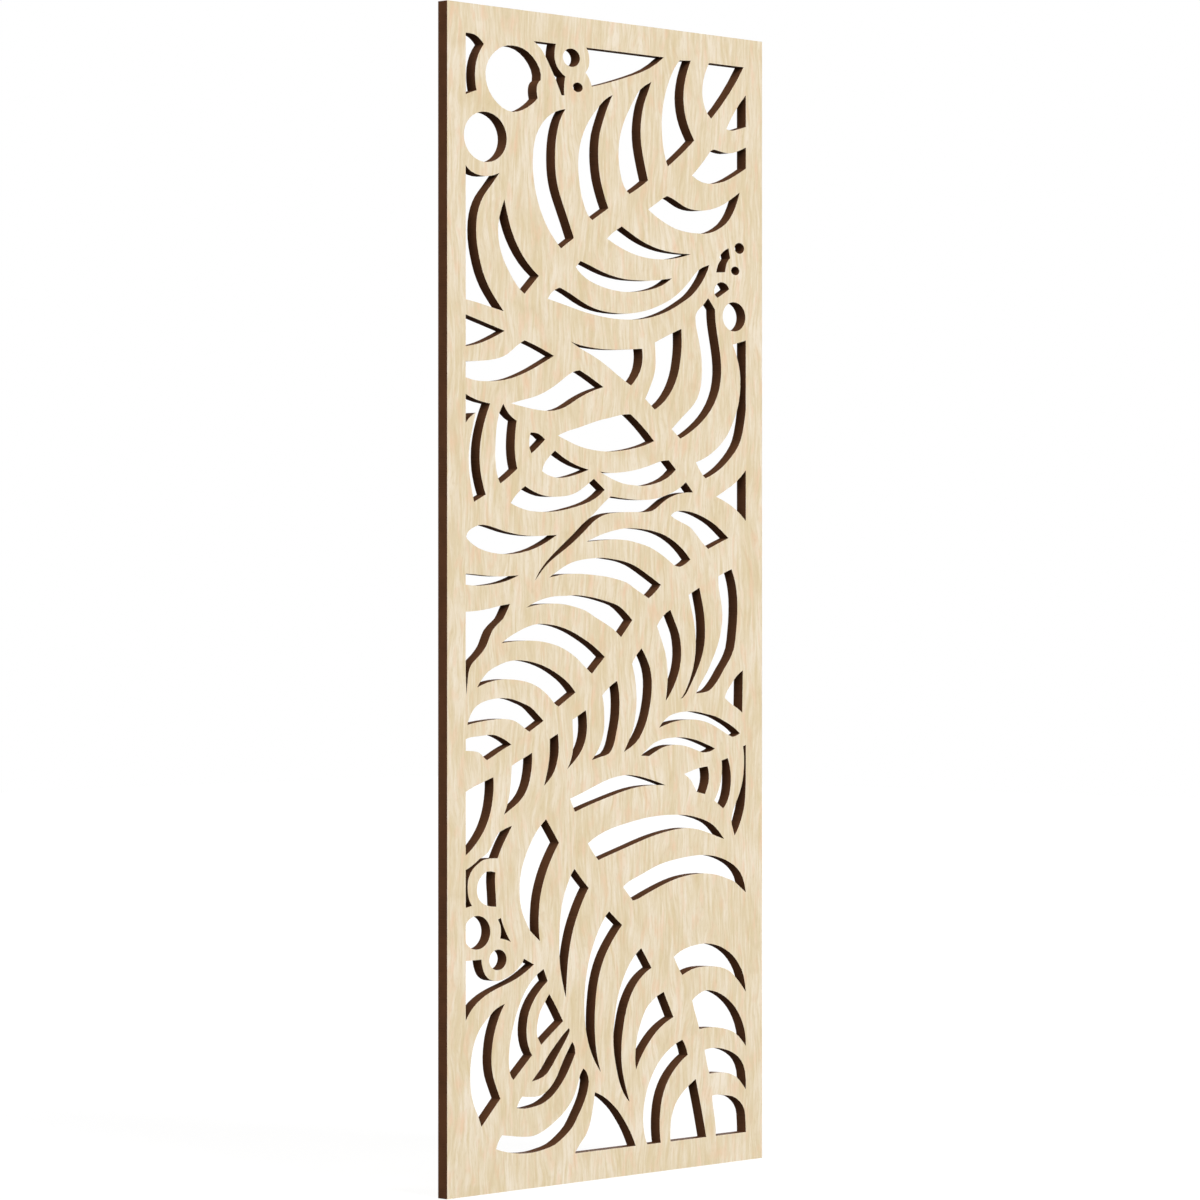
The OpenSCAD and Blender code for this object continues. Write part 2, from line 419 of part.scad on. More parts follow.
// The ground between the leaves
ground = [
    [[[13.2, 585], [19.5, 584.6], [23.5, 582.7]],
     [[26.2, 580.3], [22.3, 574.8], [20.2, 568.5], [20, 562]],
     [[21, 556.6], [17, 555.4]],
     [[13.2, 554]]],
    [[[67.7, 565.5], [65.4, 563.2], [64.8, 559.8]],
     [[65.5, 556], [61.1, 552.6], [54.6, 549.3], [47, 547.7], [39.6, 549.3], [32.7, 553.9], [28.5, 559.8],
      [27.4, 566.5], [29.6, 572.5], [34.5, 577.4], [40.3, 580.4], [47, 581.4], [54.8, 580.5], [61.9, 576.9],
      [67, 571.1]]],
    [[[13.2, 518.4], [17.5, 515.4], [24, 513.9], [31, 514.2]],
     [[37.6, 516.1], [31.3, 509.3], [26.2, 503.9], [22.8, 498], [21, 491], [20.9, 482.5], [22.5, 474.3],
      [25.5, 465.5], [29.7, 458.2], [34.6, 452.4]],
     [[40.6, 446.2], [31, 448], [22, 449.7]],
     [[13.2, 451]]],
    [[[62.5, 585]],
     [[79, 585], [78.1, 581], [78.2, 577], [80, 573.3], [83, 570.6]],
     [[86.1, 568.8], [85.2, 564.5]],
     [[85.3, 559]],
     [[83.2, 559], [79, 566.4], [75, 572.6], [71, 578.2], [67.3, 582]]],
    [[[101.8, 585]],
     [[161.5, 585], [150, 578.2], [137, 573.5], [120, 568.6]],
     [[106, 565.2], [104.2, 568.8]],
     [[101.2, 572.1], [103.6, 575.3], [104.1, 579], [103.5, 582.3]]],
    [[[212.8, 487.5], [213.5, 484.5]],
     [[214.1, 482.2], [211.4, 479.4]],
     [[210, 474.6]],
     [[202.9, 474.1], [204.2, 478]],
     [[206.6, 480.9]],
     [[205.3, 482.4], [208.5, 485.4]]],
    [[[213.3, 465.6], [208.6, 463]],
     [[203.8, 460.6], [201.2, 463.3], [202.2, 466.9], [206.5, 469.1], [210.8, 468.3]]],
    [[[13.2, 443.4], [26, 440.2]],
     [[41.3, 436.3], [33.5, 432.9], [25.5, 430], [19, 428.4]],
     [[13.2, 427.5]]],
    [[[13.2, 313.1], [20, 312.8], [28, 312.2], [36, 311.8], [43.5, 312]],
     [[51.6, 312.5], [45, 310.2], [38, 308.6], [30, 307.6], [22, 307.1]],
     [[13.2, 307.6]]],
    [[[13.2, 294], [23, 294.6], [31, 295.7], [38, 297]],
     [[45.2, 297.9], [42.8, 294], [40.2, 290.4], [36, 287.5], [32.3, 284.3], [29.8, 280],
      [27.7, 276.3], [23.5, 272.2], [18.8, 268.8], [16, 265.5], [14.8, 260.5]],
     [[13.8, 251.8]],
     [[13.2, 262]]],
    [[[209.8, 247.7], [211.5, 251.2], [215.4, 255.5], [219.5, 259.3]],
     [[224.4, 262.3]],
     [[223.9, 239.6], [219.5, 242.3], [214.8, 244.5]]],
    [[[157.7, 232.8], [161, 236], [165.5, 238.8], [171, 240.3], [178, 241], [186, 240.9],
      [194, 239.6], [202.3, 238], [209.4, 235.4], [216.4, 232.2]],
     [[221.9, 228.6], [219, 227.4]],
     [[215.8, 226.8], [210.5, 228.9], [205, 231.4], [199, 233.9], [193, 235.6], [186, 236.6],
      [179, 236.7], [172, 236.2], [165.5, 235]]],
    [[[143.8, 218.5], [148.5, 221.9], [153.9, 225], [160.5, 226.8], [167, 227.4], [174, 227.5],
      [181, 226.9], [188, 225.5], [195, 223.4]],
     [[201.9, 221], [197.5, 219.4]],
     [[192, 219.1], [187.5, 220.3], [181.5, 222.1], [175, 223.3], [168, 223.6], [161, 222.6],
      [155.5, 220.6]],
     [[150, 218.2]]],
    [[[224.6, 221.6]],
     [[226.8, 222.3], [226.8, 210], [226.6, 199], [225.8, 190.8], [224.2, 185.4], [221.5, 179.5]],
     [[217.7, 174.1]],
     [[215.4, 180], [215.2, 184], [216.6, 187.8], [219.3, 192.5], [222, 197.5], [224.2, 203.5],
      [225.2, 210], [225.3, 216]]],
    [[[177.4, 208.1], [182.5, 209.4], [188.5, 210.8]],
     [[196, 211.6], [197, 207.5], [196.7, 203]],
     [[193.9, 196.9], [190.3, 197.7]],
     [[187.2, 198.4], [185.4, 201.2], [182.8, 204.5]]],
    [[[207.3, 214.5]],
     [[212.1, 215.6], [213.9, 211], [214.7, 206], [214.5, 201], [213.4, 196], [211.4, 192]],
     [[208.5, 188.8], [204.5, 191.4]],
     [[201.4, 193.3], [204, 197.3], [206.2, 202], [207.4, 208]]],
    [[[89.5, 197.7], [100, 200.9], [110, 204.3], [120, 207.2], [130, 208.7], [138.1, 208.4], [147.1, 206.8],
      [155.1, 204.8]],
     [[162.9, 202.5], [154, 202.9], [145, 202.6], [136, 201.5], [127, 199.7], [115, 196.8],
      [104, 194]],
     [[93.3, 190.8]]],
    [[[46.7, 185.3], [41.5, 183.9]],
     [[36.9, 182.1], [34.2, 179], [31.8, 175.6], [29.3, 172.6], [26.3, 170.7]],
     [[23.3, 169.5], [18.5, 166.6]],
     [[13.2, 164.2]],
     [[13.2, 145.2]],
     [[17.8, 146], [15.8, 149], [14.7, 153], [14.7, 157.5], [15.8, 161], [18.3, 164.3],
      [21.8, 166.8], [25.8, 168.7], [30.5, 169.3]],
     [[36.2, 169.2], [38.5, 173.5], [41, 177.5], [43.8, 181.3]]],
    [[[36.5, 138.2]],
     [[38.6, 138.9], [40.5, 134.5], [43, 130.2]],
     [[45.8, 126.4], [42, 127.7]],
     [[38, 128.5], [38.6, 131.5], [38.3, 134.8]]],
    [[[13.2, 118.5]],
     [[24.5, 118.6], [25.3, 114.5], [27.3, 110.6], [30.5, 108.2], [35, 107.1], [40, 107.6],
      [45, 109.2], [50, 111.8]],
     [[54.6, 115.9]],
     [[55.4, 117.4], [58.8, 115.8]],
     [[62.8, 114], [57, 110.7], [50, 107.5], [42, 105], [34.5, 102.9], [27.5, 100.3], [21.5, 97],
      [17, 93.2]],
     [[13.2, 88.4]]],
    [[[108.4, 45.3], [114.5, 42.8], [120.5, 39], [126, 34.4], [131, 28.7], [135.5, 22.5]],
     [[139.6, 15]],
     [[93.2, 15], [96.7, 19.2], [101.3, 23.6], [104.2, 28.5], [106.1, 34.5], [107.4, 40]]]
];

// Bubbles, each with its centre and its half width and half height
bubbles = [
    [[90.6, 578.85], [6.4, 4.7]],
    [[95.4, 564], [3.7, 2.45]],
    [[221.5, 487.9], [3.9, 2.9]],
    [[218.2, 475.7], [3.3, 2.3]],
    [[217.2, 451.1], [9.2, 7.8]],
    [[21.3, 132.3], [9.6, 8.5]],
    [[36.4, 117.8], [6.3, 5.2]]
];

// The bubble at the upper left, which bites into the left border
edge_bubble = [[27.35, 533.6], [15.5, 12.7]];

// The bubble with a flat side, beside the lower left edge
flat_bubble = [
    [[34.6, 162.2], [34.3, 157], [34.8, 151.5]],
    [[35.2, 144.8], [29.5, 145.4], [25, 147.1], [22, 150.1], [21.2, 154], [22.3, 158], [25, 161],
     [28.5, 162.8]]
];

// The point that a smooth stroke through a, m and c would have come from before a
function lead(a, m, c) = 3 * a - 3 * m + c;

// A point on the smooth curve from q to s, with its neighbours p and u, at the share k of the way
function on_curve(p, q, s, u, k) =
    (2 * q + (s - p) * k + (2 * p - 5 * q + 4 * s - u) * k * k + (3 * q - p - 3 * s + u) * k * k * k) / 2;

// All points of a stroke, up to but without the point where it ends
function stroke(points, end) =
    let (all = concat(points, [end]), n = len(all) - 1)
    n == 1 ? [all[0]] :
    let (run = concat([lead(all[0], all[1], all[2])], all, [lead(all[n], all[n - 1], all[n - 2])]))
    [for (i = [0 : n - 1], k = [0 : curve_steps - 1])
        on_curve(run[i], run[i + 1], run[i + 2], run[i + 3], k / curve_steps)];

function outline(strokes) =
    [for (i = [0 : len(strokes) - 1]) each stroke(strokes[i], strokes[(i + 1) % len(strokes)][0])];

function ellipse(centre, radii) =
    [for (k = [0 : bubble_steps - 1])
        let (a = 360 * k / bubble_steps) centre + [radii[0] * cos(a), radii[1] * sin(a)]];

// Keeps a point of the sheet off the borders
function trimmed(p) = [min(max(p[0], sheet_left), sheet_right), min(max(p[1], sheet_bottom), sheet_top)];

// Carries a point from the sheet to the panel's open field
function placed(p) =
    let (
        x = (p[0] - sheet_left) / (sheet_right - sheet_left),
        z = (p[1] - sheet_bottom) / (sheet_top - sheet_bottom)
    )
    [
        stile_w - panel_w / 2 + x * (panel_w - 2 * stile_w),
        bottom_rail_h - panel_h / 2 + z * (panel_h - bottom_rail_h - top_rail_h)
    ];

module opening(points) {
    polygon([for (p = points) placed(trimmed(p))]);
}

// Cuts a bubble whole, so that it bites into the border beside it
module whole_bubble(centre, radii) {
    polygon([for (p = ellipse(centre, radii)) placed(p)]);
}

// The pierced board's outline
module fretwork() {
    difference() {
        square([panel_w, panel_h], center = true);
        for (group = [upper_leaf, middle_leaf, side_leaf, lower_leaf, bottom_leaf, corner_leaf, ground])
            for (strokes = group)
                opening(outline(strokes));
        for (bubble = bubbles)
            opening(ellipse(bubble[0], bubble[1]));
        whole_bubble(edge_bubble[0], edge_bubble[1]);
        opening(outline(flat_bubble));
    }
}

// One layer of the board, between two depths from the back
module layer(from, to) {
    translate([0, -from, 0])
        rotate([90, 0, 0])
            linear_extrude(to - from)
                fretwork();
}

// A plate with round ends, standing upright, between two depths from the back
module upright_plate(w, h, from, to) {
    translate([0, -to, 0]) {
        for (z = [w / 2 - h / 2, h / 2 - w / 2])
            translate([0, 0, z])
                rotate([-90, 0, 0])
                    cylinder(d = w, h = to - from);
        translate([-w / 2, 0, w / 2 - h / 2])
            cube([w, to - from, h - w]);
    }
}

// A round hole from one depth to another
module hole(d, z, from, to) {
    translate([0, -to, z])
        rotate([-90, 0, 0])
            cylinder(d = d, h = to - from);
}

// Puts its children at each hanger's place
module at_hangers() {
    for (side = [-1, 1])
        translate([side * hanger_x, 0, hanger_z])
            children();
}

// What is cut out of the board for one hanger: the recess, the room for a nail's head, the pilots
module hanger_recess() {
    upright_plate(hanger_w + 2 * recess_gap, hanger_h + 2 * recess_gap, -over, hanger_t);
    translate([0, 0, (entry_z + slot_z) / 2])
        upright_plate(room_w, room_w + slot_rise, hanger_t - over / 2, hanger_t + head_room);
    for (z = [-screw_z, screw_z])
        hole(screw_d + 2 * screw_gap, z, hanger_t - over / 2, screw_len + screw_gap);
}

// The keyhole: a round entry below and a slot that rises from it
module keyhole() {
    hole(entry_d, entry_z, -over, hanger_t + over);
    hole(slot_w, slot_z, -over, hanger_t + over);
    translate([-slot_w / 2, -hanger_t - over, entry_z])
        cube([slot_w, hanger_t + 2 * over, slot_rise]);
}

// A countersink as deep as the head, as wide as the head and its gap
module countersink(d_head, d_shank, z) {
    depth = (d_head - d_shank) / 2;
    translate([0, -depth, z])
        rotate([-90, 0, 0])
            cylinder(d1 = d_shank, d2 = d_head, h = depth);
}

module hanger() {
    difference() {
        upright_plate(hanger_w, hanger_h, 0, hanger_t);
        keyhole();
        for (z = [-screw_z, screw_z]) {
            hole(screw_d + 2 * screw_gap, z, -over, hanger_t + over);
            countersink(screw_head_d + 2 * screw_gap, screw_d + 2 * screw_gap, z);
        }
    }
}

module screw(side, level) {
    color("lightgray")
        translate([side * hanger_x, 0, hanger_z + level * screw_z])
            difference() {
                union() {
                    hole(screw_d, 0, 0, screw_len);
                    countersink(screw_head_d, screw_d, 0);
                }
                translate([-screw_head_d, -drive_depth, -drive_w / 2])
                    cube([2 * screw_head_d, drive_depth + over, drive_w]);
            }
}

module face_veneer() {
    color("bisque")
        layer(board_t - face_t, board_t);
}

module core() {
    color("saddlebrown")
        difference() {
            layer(back_t, board_t - face_t);
            at_hangers()
                hanger_recess();
        }
}

module back_veneer() {
    color("wheat")
        difference() {
            layer(0, back_t);
            at_hangers()
                hanger_recess();
        }
}

module left_hanger() {
    color("silver")
        translate([-hanger_x, 0, hanger_z])
            hanger();
}

module right_hanger() {
    color("silver")
        translate([hanger_x, 0, hanger_z])
            hanger();
}

module left_upper_screw() {
    screw(-1, 1);
}

module left_lower_screw() {
    screw(-1, -1);
}

module right_upper_screw() {
    screw(1, 1);
}

module right_lower_screw() {
    screw(1, -1);
}

face_veneer();
core();
back_veneer();
left_hanger();
right_hanger();
left_upper_screw();
left_lower_screw();
right_upper_screw();
right_lower_screw();
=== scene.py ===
# %% [markdown]
# # A fretwork wall panel
# The object is a tall thin board that hangs on a wall. A laser has cut leaves, veins and bubbles right
# through it. The CAD model already has its three glued layers, its two keyhole hangers and their screws,
# so this lesson sets up the portrait and gives each surface its finish.

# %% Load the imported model
import math

import bmesh
import bpy
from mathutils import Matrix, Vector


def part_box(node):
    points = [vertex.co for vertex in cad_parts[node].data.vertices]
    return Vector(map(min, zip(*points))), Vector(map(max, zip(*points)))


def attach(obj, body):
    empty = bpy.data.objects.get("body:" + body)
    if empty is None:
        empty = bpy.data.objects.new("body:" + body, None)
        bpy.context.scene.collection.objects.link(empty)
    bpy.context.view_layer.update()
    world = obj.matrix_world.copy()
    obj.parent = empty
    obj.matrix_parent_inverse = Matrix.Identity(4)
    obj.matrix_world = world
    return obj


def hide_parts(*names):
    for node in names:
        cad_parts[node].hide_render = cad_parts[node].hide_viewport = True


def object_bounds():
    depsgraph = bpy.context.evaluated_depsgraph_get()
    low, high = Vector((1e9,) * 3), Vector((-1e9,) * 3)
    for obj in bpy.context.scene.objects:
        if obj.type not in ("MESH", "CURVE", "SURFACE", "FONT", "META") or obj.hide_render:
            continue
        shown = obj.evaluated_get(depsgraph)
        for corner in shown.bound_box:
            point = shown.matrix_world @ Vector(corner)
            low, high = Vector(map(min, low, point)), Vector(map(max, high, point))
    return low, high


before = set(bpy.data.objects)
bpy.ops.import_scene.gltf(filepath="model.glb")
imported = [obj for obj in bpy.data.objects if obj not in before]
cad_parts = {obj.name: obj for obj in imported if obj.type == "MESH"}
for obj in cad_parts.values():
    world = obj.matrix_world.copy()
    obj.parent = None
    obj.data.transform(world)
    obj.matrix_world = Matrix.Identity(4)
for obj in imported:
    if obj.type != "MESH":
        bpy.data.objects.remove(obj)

MM = 0.001
cad_low, cad_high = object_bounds()
print("CAD box, mm:", [round(side / MM, 1) for side in cad_high - cad_low])
print("nodes:", sorted(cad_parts))

# %% [markdown]
# ## The camera
# A camera's place can be worked out from the picture of a flat rectangle. The panel's four front corners
# give how far the panel is turned and how far away the lens was: the near edge is about 7% taller in the
# picture than the far one, and both are cut by the horizon at half their height, so the lens stood level
# with the panel's middle. The camera is put there and turned, and it needs no shift.

# %% Camera
PICTURE_SIDE = 1200
FOCAL_PIXELS = 4715
PANEL_TURN = math.radians(47.04)
CAMERA_PLACE = (-1.7943, -1.6700, -0.0001)

camera_data = bpy.data.cameras.new("portrait_camera")
camera_data.angle = 2 * math.atan(PICTURE_SIDE / 2 / FOCAL_PIXELS)
camera = bpy.data.objects.new("portrait_camera", camera_data)
camera.location = CAMERA_PLACE
camera.rotation_euler = (math.radians(90), 0, -PANEL_TURN)
bpy.context.scene.collection.objects.link(camera)
bpy.context.scene.camera = camera
print("lens, mm:", round(camera_data.lens, 1), "view angle:", round(math.degrees(camera_data.angle), 2))

# %% [markdown]
# ## Small helpers
# Colours are written as the hex values that a picture shows, and Blender's sockets want linear light,
# so one function turns the first into the second. Another empties a node tree, and the last adds a node
# to it, with its options, its plain values and its links in one call.

# %% Colour and node helpers
def linear(hex_colour):
    """The linear RGBA colour of an sRGB hex value such as "#E8D7B9"."""
    channels = [int(hex_colour[start:start + 2], 16) / 255 for start in (1, 3, 5)]
    return [c / 12.92 if c <= 0.04045 else ((c + 0.055) / 1.055) ** 2.4 for c in channels] + [1.0]


def new_tree(owner):
    """The emptied node tree of a material or a world."""
    owner.use_nodes = True
    owner.node_tree.nodes.clear()
    return owner.node_tree


def add(tree, kind, inputs=None, **options):
    """Adds one node: options are its settings, and inputs holds a value or a socket for each input."""
    made = tree.nodes.new(kind)
    for option, value in options.items():
        setattr(made, option, value)
    for place, value in (inputs or {}).items():
        if isinstance(value, bpy.types.NodeSocket):
            tree.links.new(value, made.inputs[place])
        else:
            made.inputs[place].default_value = value
    return made


print("a cream in linear light:", [round(c, 3) for c in linear("#E8D7B9")])

# %% [markdown]
# ## Light
# The photograph has plain studio light. The face is even from top to bottom, walls that look up are
# lighter than those that look sideways, and those that look down are nearly black. Two wide soft suns
# give that: one high in front, and one low on the left that lights the panel's outer edge but hardly
# gets into the openings. A third, low behind, lights the back for views from there and can't reach
# what the first camera sees. A dim world fills the shadows. The camera, mirrors and glass see the
# world as plain white, which is the background. A Light Path node tells them apart from light that
# falls on the panel.

# %% Who is looking
WHITE = (1, 1, 1, 1)


def looked_at(tree):
    """A socket that is 1 where the camera, a mirror or glass looks, and 0 for light on its way."""
    path = add(tree, "ShaderNodeLightPath").outputs
    mirrored = add(tree, "ShaderNodeMath", {0: path["Is Glossy Ray"], 1: path["Is Transmission Ray"]},
                   operation="ADD")
    seen = add(tree, "ShaderNodeMath", {0: path["Is Camera Ray"], 1: mirrored.outputs[0]},
               operation="ADD", use_clamp=True)
    return seen.outputs[0]


print("the background is linear", WHITE[:3])

# %% World
BACKGROUND_STRENGTH = 1.0
FILL_STRENGTH = 0.24

world = bpy.data.worlds.new("studio_world")
bpy.context.scene.world = world
tree = new_tree(world)
fill = add(tree, "ShaderNodeBackground", {"Color": WHITE, "Strength": FILL_STRENGTH})
white = add(tree, "ShaderNodeBackground", {"Color": WHITE, "Strength": BACKGROUND_STRENGTH})
mix = add(tree, "ShaderNodeMixShader", {0: looked_at(tree), 1: fill.outputs[0], 2: white.outputs[0]})
add(tree, "ShaderNodeOutputWorld", {"Surface": mix.outputs[0]})
bpy.context.scene.view_settings.view_transform = "Standard"
print("world fill:", FILL_STRENGTH)

# %% Soft suns
# For each sun: the direction it shines from, its light on a white card that faces it, and how wide it
# looks in degrees, which is how soft its shadows are.
SUNS = {
    "front_sun": ((0, -0.78, 0.62), 0.875, 30),
    "side_sun": ((-0.88, -0.28, 0.36), 0.64, 50),
    "back_sun": ((0.88, 0.46, 0.1), 1.45, 8),
}

for name, (towards, card_light, width_degrees) in SUNS.items():
    data = bpy.data.lights.new(name, "SUN")
    data.energy = card_light * math.pi
    data.angle = math.radians(width_degrees)
    sun = bpy.data.objects.new(name, data)
    tilt = math.atan2(math.hypot(towards[0], towards[1]), towards[2])
    sun.rotation_euler = (tilt, 0, math.atan2(towards[0], -towards[1]))
    bpy.context.scene.collection.objects.link(sun)
    print(name, "energy:", round(data.energy, 2))

# %% [markdown]
# ## The floor
# The panel stands on a plain pale floor. To the camera the floor is mostly plain white light, so it
# meets the white world without a line, and a small share is an ordinary matt surface, so that the
# panel's shadow stays on it. The light that bounces off it is that of a greyer floor, because walls
# that look down are nearly black in the photograph.

# %% Floor
FLOOR_SIDE = 8.0
GLOW = 0.88
SHADOW_PAINT = linear("#6D6D6D")
BOUNCE_PAINT = linear("#3A3A3A")

bpy.ops.mesh.primitive_plane_add(size=FLOOR_SIDE, location=(0, 0, cad_low.z))
floor = bpy.context.object
floor.name = "studio_floor"

# Matt wall paint on a board: it has no shine at all, so nothing is mirrored in it.
floor_paint = bpy.data.materials.new("matt_white_floor_paint")
tree = new_tree(floor_paint)
bounce = add(tree, "ShaderNodeBsdfDiffuse", {"Color": BOUNCE_PAINT})
shadow = add(tree, "ShaderNodeBsdfDiffuse", {"Color": SHADOW_PAINT})
glow = add(tree, "ShaderNodeEmission", {"Color": WHITE, "Strength": GLOW})
shown = add(tree, "ShaderNodeAddShader", {0: glow.outputs[0], 1: shadow.outputs[0]})
mix = add(tree, "ShaderNodeMixShader", {0: looked_at(tree), 1: bounce.outputs[0], 2: shown.outputs[0]})
add(tree, "ShaderNodeOutputMaterial", {"Surface": mix.outputs[0]})
floor.data.materials.append(floor_paint)
print("floor at z, mm:", round(cad_low.z / MM, 1))

# %% [markdown]
# ## Patterns with real sizes
# Wood, char and zinc all get their figure from noise. A pattern is stretched by squashing the
# coordinates that it reads, and one that doesn't change in some direction has them squashed flat there,
# so each pattern is asked for by its size in millimetres along X, Y and Z, with 0 for no change. The
# noise lies mostly between 0.25 and 0.75, so a tint is given two values of it: where it starts to show
# and where it is full.

# %% Patterns and tints
# A Mix node has sockets for each type of value. These are the ones that colours use.
SHARE, UNDER, OVER, MIXED = 0, 6, 7, 2


def patches(tree, place, size_mm, detail=2, roughness=0.5):
    """A soft pattern from 0 to 1, with patches of about this size in mm along X, Y and Z."""
    scale = [1 / (side * MM) if side else 0 for side in size_mm]
    mapped = add(tree, "ShaderNodeMapping", {"Vector": place, "Scale": scale})
    noise = add(tree, "ShaderNodeTexNoise", {"Vector": mapped.outputs[0], "Scale": 1, "Detail": detail,
                                             "Roughness": roughness}, normalize=True)
    return noise.outputs["Fac"]


def tinted(tree, colour, tint, pattern, none_at, full_at):
    """The colour with a tint laid over it, which grows from none to full between two pattern values."""
    share = add(tree, "ShaderNodeMapRange", {"Value": pattern, "From Min": none_at, "From Max": full_at})
    return add(tree, "ShaderNodeMix", {SHARE: share.outputs[0], UNDER: colour, OVER: tint},
               data_type="RGBA").outputs[MIXED]


print("a 2 mm patch on the panel is about", round(2 * FOCAL_PIXELS * MM / math.hypot(*CAMERA_PLACE), 1),
      "pixels high")

# %% [markdown]
# ## Scorched fibreboard
# A laser burns its way through the board and leaves each wall dark brown, with fine lines that run
# straight through the thickness, where the beam pulsed. The walls of the veneers are scorched the same
# way, so the colour is made once here and used in three materials. The lines run along Y, so their
# pattern doesn't change in that direction. Soot lies thicker in some places, and the lines are darkest
# there.

# %% The colour of a scorched wall
CHAR_BROWN = linear("#593A26")
CHAR_DARK = linear("#3A2618")
# A laser's lines are 0.1 to 0.2 mm apart. They are drawn 0.5 mm apart, because finer ones wouldn't show.
STRIA_MM = 0.5
STRIA_NONE, STRIA_FULL = 0.3, 0.8
SOOT_MM = 9
SOOT_NONE, SOOT_FULL = 0.35, 0.75


def scorched(tree, place):
    """The colour of a laser-cut wall, and the height of the fine lines on it."""
    striae = patches(tree, place, (STRIA_MM, 0, STRIA_MM))
    lines = add(tree, "ShaderNodeMapRange", {"Value": striae, "From Min": STRIA_NONE,
                                             "From Max": STRIA_FULL})
    soot = add(tree, "ShaderNodeMapRange", {"Value": patches(tree, place, (SOOT_MM, SOOT_MM, SOOT_MM)),
                                            "From Min": SOOT_NONE, "From Max": SOOT_FULL})
    dark = add(tree, "ShaderNodeMath", {0: soot.outputs[0], 1: lines.outputs[0]}, operation="MULTIPLY")
    burnt = add(tree, "ShaderNodeMix", {SHARE: dark.outputs[0], UNDER: CHAR_BROWN, OVER: CHAR_DARK},
                data_type="RGBA")
    return burnt.outputs[MIXED], striae


print("striae every", STRIA_MM, "mm, soot patches of", SOOT_MM, "mm")

# %% The core's material
CHAR_ROUGHNESS = 0.85
CHAR_SHINE = 0.03
STRIA_BUMP = 0.4
STRIA_DEPTH_MM = 0.05

# Brown fibreboard, cut by laser. It is as matt as charcoal, so it stays dark from every side.
scorched_fibreboard = bpy.data.materials.new("laser_scorched_fibreboard")
tree = new_tree(scorched_fibreboard)
place = add(tree, "ShaderNodeTexCoord").outputs["Object"]
colour, striae = scorched(tree, place)
bump = add(tree, "ShaderNodeBump", {"Height": striae, "Strength": STRIA_BUMP,
                                    "Distance": STRIA_DEPTH_MM * MM})
shader = add(tree, "ShaderNodeBsdfPrincipled", {"Base Color": colour, "Roughness": CHAR_ROUGHNESS,
                                                "Specular IOR Level": CHAR_SHINE,
                                                "Normal": bump.outputs[0]})
add(tree, "ShaderNodeOutputMaterial", {"Surface": shader.outputs[0]})
print(scorched_fibreboard.name, "has", len(tree.nodes), "nodes")

# %% [markdown]
# ## Birch veneer
# The face is a thin sheet of birch, sliced from the log and sanded. Up close it is nearly one colour,
# a warm cream. Its figure is quiet: upright streaks about 2 mm wide and 2 cm long that wander a little,
# broad paler and deeper patches, thin growth lines, fine pores, and now and then a warmer fleck. Each of
# these is a noise stretched along the grain, with its size given in millimetres, and one slow noise
# bends them all. Growth lines are the crests of a sine that runs over another slow noise, as contour
# lines run over a hill, and they show only where the wood is deeper in colour.

# %% The veneer's colours and sizes
VENEER_PALE = linear("#F2E6D3")
VENEER_DEEP = linear("#DDCAA3")
VENEER_WARM = linear("#EBC9A8")
VENEER_LINE = linear("#CFB78C")

WANDER_MM = (34, 0, 80)
WANDER_ASIDE_MM = 11
BROAD_MM = (13, 0, 40)
BROAD_NONE, BROAD_FULL = 0.22, 0.78
STREAK_MM = (1.9, 0, 22)
STREAK_NONE, STREAK_DEEP_FULL, STREAK_PALE_FULL = 0.47, 0.67, 0.27
FLECK_MM = (6, 0, 15)
FLECK_NONE, FLECK_FULL = 0.52, 0.84
RING_MM = (32, 0, 150)
RING_CROWDING = 90
RING_NONE, RING_FULL = 0.6, 2.2
# Birch's pores are under 0.1 mm wide. They are drawn 0.8 mm wide, because finer ones wouldn't show.
PORE_MM = (0.8, 0, 3)
PORE_NONE, PORE_FULL = 0.55, 1.3
print("streaks, mm:", STREAK_MM, "broad patches, mm:", BROAD_MM)


